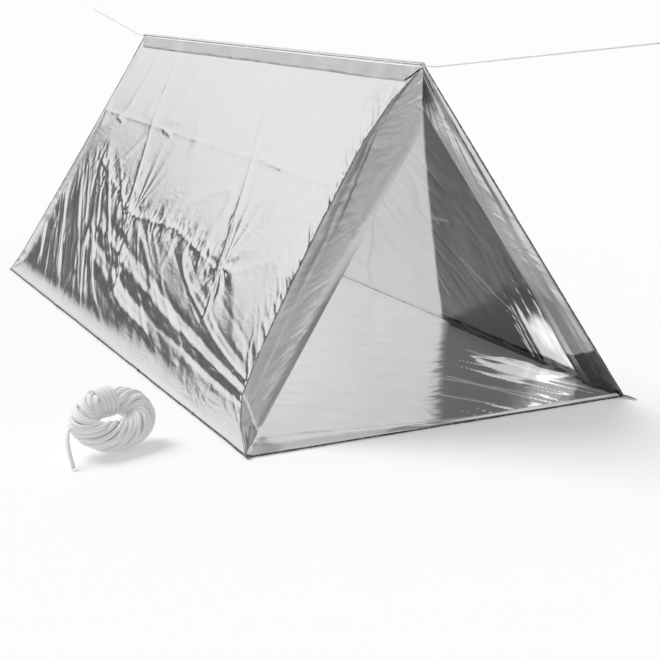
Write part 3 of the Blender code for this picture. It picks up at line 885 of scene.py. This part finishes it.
def add_corner_tails():
    """The pointed ends of the base seams, twisted and pressed flat, at the floor's corners."""
    run = np.linspace(0, 1, 26)[:, None]
    across = np.linspace(-1, 1, 9)[None]
    twist = 0.5 * np.sin(3 * run)
    spread = (0.0095 * (1 - run) ** 0.7 + 0.0016) * across * np.cos(twist)
    fold = 0.0022 * (1 - np.abs(across)) * (1 - run) + 0.0006 * noise(run * 6, across * 2, 120)
    uv = stack(run * 0.05, across * 0.008)
    for end, word in ENDS:
        for side, label in SIDES:
            name = f"{word}_{label}_corner_tab"
            low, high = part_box(name)
            corner = np.array([high.x if side > 0 else low.x, high.y if end > 0 else low.y])
            root = np.array([side * (HALF_WIDTH - 0.006), end * (abs(FRONT) - 0.008), 0.004])
            tip = np.array([corner[0] - side * 0.010, corner[1] + end * 0.009, 0.0022])
            # The left tails are short.
            length = (1.0 if side > 0 else 0.40) * (tip - root)
            sideways = np.cross(unit(length), (0, 0, 1))
            points = root + length * run[..., None] + spread[..., None] * sideways
            points[..., 2] += fold + 0.0015 * np.sin(math.pi * run)
            tail = grid(f"{name}_tail", points, uv)
            dress(tail, TAPE, "tab_tape", "floor", name)


def add_tie_tabs():
    """Small tape loops on the outside of the right wall, beside its end edges."""
    run = np.linspace(0, 1, 30)[:, None]
    across = 0.011 * np.linspace(-0.5, 0.5, 7)[None]
    bulge = 0.0035 * np.sin(math.pi * run) + 0.0004 * noise(run * 8, across * 2 / 0.011, 130)
    for word in ("front", "rear"):
        name = f"{word}_tie_tab"
        low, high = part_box(name)
        along = (high.y - low.y) * run
        points = centre(name) + (along - (high.y - low.y) / 2)[..., None] * ALONG
        points = points + across[..., None] * RIGHT.up + bulge[..., None] * RIGHT.out
        tab = grid(f"{name}_loop", points, stack(along, across))
        dress(tab, TAPE, "tab_tape", "right_wall_lower", name)


def add_sleeve():
    """The cord's sleeve, puckered along its seam."""
    y = np.linspace(FRONT_APEX + 0.004, REAR_APEX - 0.004, RIDGE_ROWS)[:, None]
    turn = np.linspace(-0.62, 0.62, 17)[None] * math.pi
    radius = 0.0068 + 0.0004 * sparse(y / 0.030, turn / 1.2, 140, 0.1)
    x, z = radius * np.sin(turn), RIDGE_HEIGHT + radius * np.cos(turn)
    points = stack(x, y, z)
    uv = stack(y, turn * 0.007)
    sleeve = grid("ridge_sleeve", points, uv, tone=1.0, glow=0.0)
    dress(sleeve, FILM, "film", "left_wall", "ridge_tunnel")


def add_ridge_band():
    """The doubled band of film below the sleeve, which follows the wall's relief."""
    across = np.linspace(0, 1, 14)[None]
    slope = SLANT - 0.006 - 0.038 * across
    taper = 0.004 + 0.055 * across
    front, rear = LEFT.edge(slope, -1) + taper, LEFT.edge(slope, 1) - taper
    along = front + (rear - front) * np.linspace(0, 1, RIDGE_ROWS)[:, None]
    slope = np.broadcast_to(slope, along.shape)
    raised = 0.0014 * smooth(across, 1.0, 0.85) + 0.0004
    lift = left_relief(along, slope) + raised + 0.0009 * sparse(along / 0.11, slope / 0.03, 141, 0.1)
    place, uv = LEFT.place(along, slope, lift), stack(along, slope + 2)
    band = grid("ridge_band", place, uv, flip=True, tone=1.0, glow=0.0)
    dress(band, BAND, "ridge_strip", "left_wall", "ridge_strip")
    flatten_with_wall(band, LEFT)


# ---- cord and hank

def add_ridge_cord():
    """The cord is level through the ridge, and rises beyond each stop knot."""
    low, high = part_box("ridge_cord")
    radius = 0.0015
    straight = 0.050
    top = high.z - radius
    path = [(0, low.y, top), (0, FRONT_APEX - straight, RIDGE_HEIGHT),
            (0, REAR_APEX + straight, RIDGE_HEIGHT), (0, high.y, top)]
    points = []
    for start, stop in zip(path, path[1:]):
        points.extend(np.linspace(start, stop, 60, endpoint=False))
    cord = tube("ridge_cord_laid", points, radius, sides=8)
    dress(cord, THIN_CORD, "cord", "ridge_cord", "ridge_cord")
    t = np.linspace(0, 2 * math.pi, 90, endpoint=False)
    swing = 2.4 + np.cos(3 * t)
    trefoil = 0.0011 * stack(swing * np.cos(2 * t), 1.4 * np.sin(3 * t), swing * np.sin(2 * t))
    for word in ("front", "rear"):
        knot_path = centre(f"{word}_stop_knot") + trefoil
        knot = tube(f"{word}_knot", knot_path, 0.0014, sides=8, closed=True)
        dress(knot, THIN_CORD, "knot", "ridge_cord", f"{word}_stop_knot")


# The hank's oval loop lies in its own plane, which is spun and tilted about its middle.
HANK_SPIN = math.radians(18)
HANK_TILT = math.radians(44)
HANK_HALF_LENGTH = 0.0720
HANK_HALF_WIDTH = 0.0435
HANK_BUNDLE = 0.0270
STRAND = 0.0058


def hank_turn():
    """The turn from the hank's own axes to the frame's."""
    cos_spin, sin_spin = math.cos(HANK_SPIN), math.sin(HANK_SPIN)
    cos_tilt, sin_tilt = math.cos(HANK_TILT), math.sin(HANK_TILT)
    spin = np.array([[cos_spin, -sin_spin, 0], [sin_spin, cos_spin, 0], [0, 0, 1]])
    tilt = np.array([[1, 0, 0], [0, cos_tilt, -sin_tilt], [0, sin_tilt, cos_tilt]])
    return spin @ tilt


def add_hank_coil(middle, turn):
    """Strands that wander round one loop, in rings about its middle line, drawn in where it is bound."""
    t = np.linspace(0, 2 * math.pi, 150, endpoint=False)
    around = np.cos(t), np.sin(t)
    bound = hump(np.angle(np.exp(1j * (t - math.pi / 2))), 0.42)
    loop = stack(HANK_HALF_LENGTH * around[0], HANK_HALF_WIDTH * around[1], 0)
    away = unit(stack(around[0] / HANK_HALF_LENGTH, around[1] / HANK_HALF_WIDTH, 0))
    strands = []
    # Each ring: its share of the bundle's radius, its strands, and its turn in strands.
    for share, count, start in ((0, 1, 0.0), (0.34, 5, 0.3), (0.68, 9, 0.0), (1.0, 13, 0.2)):
        for k in range(count):
            seed = 200 + 31 * count + k
            wander = 0.22 * noise(around[0] * 2, around[1] * 2, seed)
            angle = 2 * math.pi * (k + start) / count + 2 * t + wander
            reach = HANK_BUNDLE * share * (1 - 0.34 * bound)
            reach = reach * (1 + 0.12 * noise(around[0] * 2.5, around[1] * 2.5, seed + 7))
            path = loop + (reach * np.cos(angle))[:, None] * away
            path = path + (reach * np.sin(angle))[:, None] * np.array([0, 0, 1])
            strands.append(tube("strand", path @ turn.T + middle, STRAND, sides=10, closed=True))
    coil = join("hank_strands", strands)
    dress(coil, CORD, "cord", "cord_hank", "hank_coil")


def add_hank_wrap(middle, turn):
    """The few turns that bind the hank."""
    turns = 4
    run = np.linspace(0, 1, 220)
    angle = 2 * math.pi * turns * run
    radius = HANK_BUNDLE * 0.66 + 2 * STRAND + 0.0010 * noise(run * 9, 0.5, 260)
    path = stack((run - 0.5) * turns * 1.9 * STRAND,
                 HANK_HALF_WIDTH + radius * np.cos(angle), radius * np.sin(angle))
    wrap = tube("hank_turns", path @ turn.T + middle, STRAND, sides=10)
    dress(wrap, CORD, "cord", "cord_hank", "hank_wrap")


def add_hank_tail(middle, turn):
    """The loose end, from inside the coil down to the ground."""
    low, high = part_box("hank_tail")
    radius = 0.0045
    root = middle + turn @ np.array([-HANK_HALF_LENGTH, 0.0, 0.010])
    start = np.array([high.x - radius, high.y - radius, high.z - radius])
    stop = np.array([low.x + radius, low.y + radius, 0.0052])
    run = np.linspace(0, 1, 60)[:, None]
    bow = np.array([-0.006, 0.0, 0.010]) * np.sin(math.pi * run)
    path = np.concatenate([np.linspace(root, start, 20, endpoint=False), start + (stop - start) * run + bow])
    tail = tube("hank_loose_end", path, STRAND * 0.80, sides=10)
    dress(tail, CORD, "cord", "cord_hank", "hank_tail")


def add_hank():
    middle, turn = centre("hank_coil"), hank_turn()
    add_hank_coil(middle, turn)
    add_hank_wrap(middle, turn)
    add_hank_tail(middle, turn)


# ---- studio

def add_stage():
    """A plain white ground, just under the shelter, that shines a little by itself."""
    half = 60.0
    mesh = bpy.data.meshes.new("studio_floor")
    corners = [(x * half, y * half, GROUND) for x, y in ((-1, -1), (1, -1), (1, 1), (-1, 1))]
    mesh.from_pydata(corners, [], [(0, 1, 2, 3)])
    floor = new_object("studio_floor", mesh)
    material, tree = new_material("studio_white")
    diffuse = node(tree, "BsdfDiffuse", {"Color": (0.97, 0.97, 0.97, 1)})
    glow = node(tree, "Emission", {"Color": (1, 1, 1, 1), "Strength": 0.82})
    mix = node(tree, "MixShader", {0: 0.34, 1: diffuse.outputs[0], 2: glow.outputs[0]})
    node(tree, "OutputMaterial", {"Surface": mix.outputs[0]})
    mesh.materials.append(material)


def add_world():
    """White all round, but mirrors see a dark band above the horizon, then pale and grey ones."""
    world = bpy.data.worlds.new("studio")
    bpy.context.scene.world = world
    world.use_nodes = True
    tree = world.node_tree
    tree.nodes.clear()
    direction = node(tree, "TexCoord").outputs["Generated"]
    height = node(tree, "SeparateXYZ", {"Vector": direction}).outputs[2]
    ramp = node(tree, "ValToRGB", {0: height})
    stops = ((0.0, 0.10), (9.6, 0.13), (10.9, 0.55), (12.0, 0.84), (20.0, 0.94), (24.0, 0.90), (28.0, 0.56),
             (38.0, 0.46), (50.0, 0.44), (57.0, 0.84), (64.0, 0.86), (72.0, 0.50), (89.0, 0.36))
    elements = ramp.color_ramp.elements
    while len(elements) < len(stops):
        elements.new(0.5)
    for element, (degrees, value) in zip(elements, stops):
        element.position = math.sin(math.radians(degrees))
        element.color = (value, value, value, 1)
    rays = node(tree, "LightPath")
    mirror = node(tree, "Background", {0: ramp.outputs[0]})
    overhead = remap(tree, height, -0.1, 1.0, 0.36, 0.62)
    white = node(tree, "Background", {0: (1, 1, 1, 1), 1: overhead})
    backdrop = node(tree, "Background", {0: (1, 1, 1, 1), 1: 0.975})
    unscattered = math_node(tree, "LESS_THAN", rays.outputs["Diffuse Depth"], 0.5)
    mirrored = math_node(tree, "MULTIPLY", rays.outputs["Is Glossy Ray"], unscattered)
    mix = node(tree, "MixShader", {0: mirrored, 1: white.outputs[0], 2: mirror.outputs[0]})
    last = node(tree, "MixShader", {0: rays.outputs["Is Camera Ray"], 1: mix.outputs[0],
                                    2: backdrop.outputs[0]})
    node(tree, "OutputWorld", {"Surface": last.outputs[0]})


def add_sun():
    """A soft light from behind on the left: it lays the shelter's shadow in front of it."""
    light = bpy.data.lights.new("soft_sun", "SUN")
    light.energy = 2.3
    light.angle = math.radians(30)
    sun = new_object("soft_sun", light)
    sun.rotation_euler = (math.radians(-34), math.radians(-24), 0)
    sun.visible_glossy = False


def add_camera():
    """In front of the shelter, to its left and just above its ridge, turned right and a little down."""
    yaw, pitch = 0.455, 0.253
    camera = new_object("camera", bpy.data.cameras.new("camera"))
    camera.location = (-1.5358, -3.606, 0.9875)
    camera.rotation_euler = (math.pi / 2 - pitch, 0, -yaw)
    camera.data.lens = 73.35
    camera.data.sensor_width = 36
    camera.data.clip_end = 200
    bpy.context.scene.camera = camera


add_left_wall()
add_right_wall()
add_floor()
add_collars()
add_base_hems()
add_collar_hems()
add_corner_tails()
add_tie_tabs()
add_sleeve()
add_ridge_band()
add_ridge_cord()
add_hank()
add_stage()
add_world()
add_sun()
add_camera()
bpy.context.scene.view_settings.view_transform = "Standard"
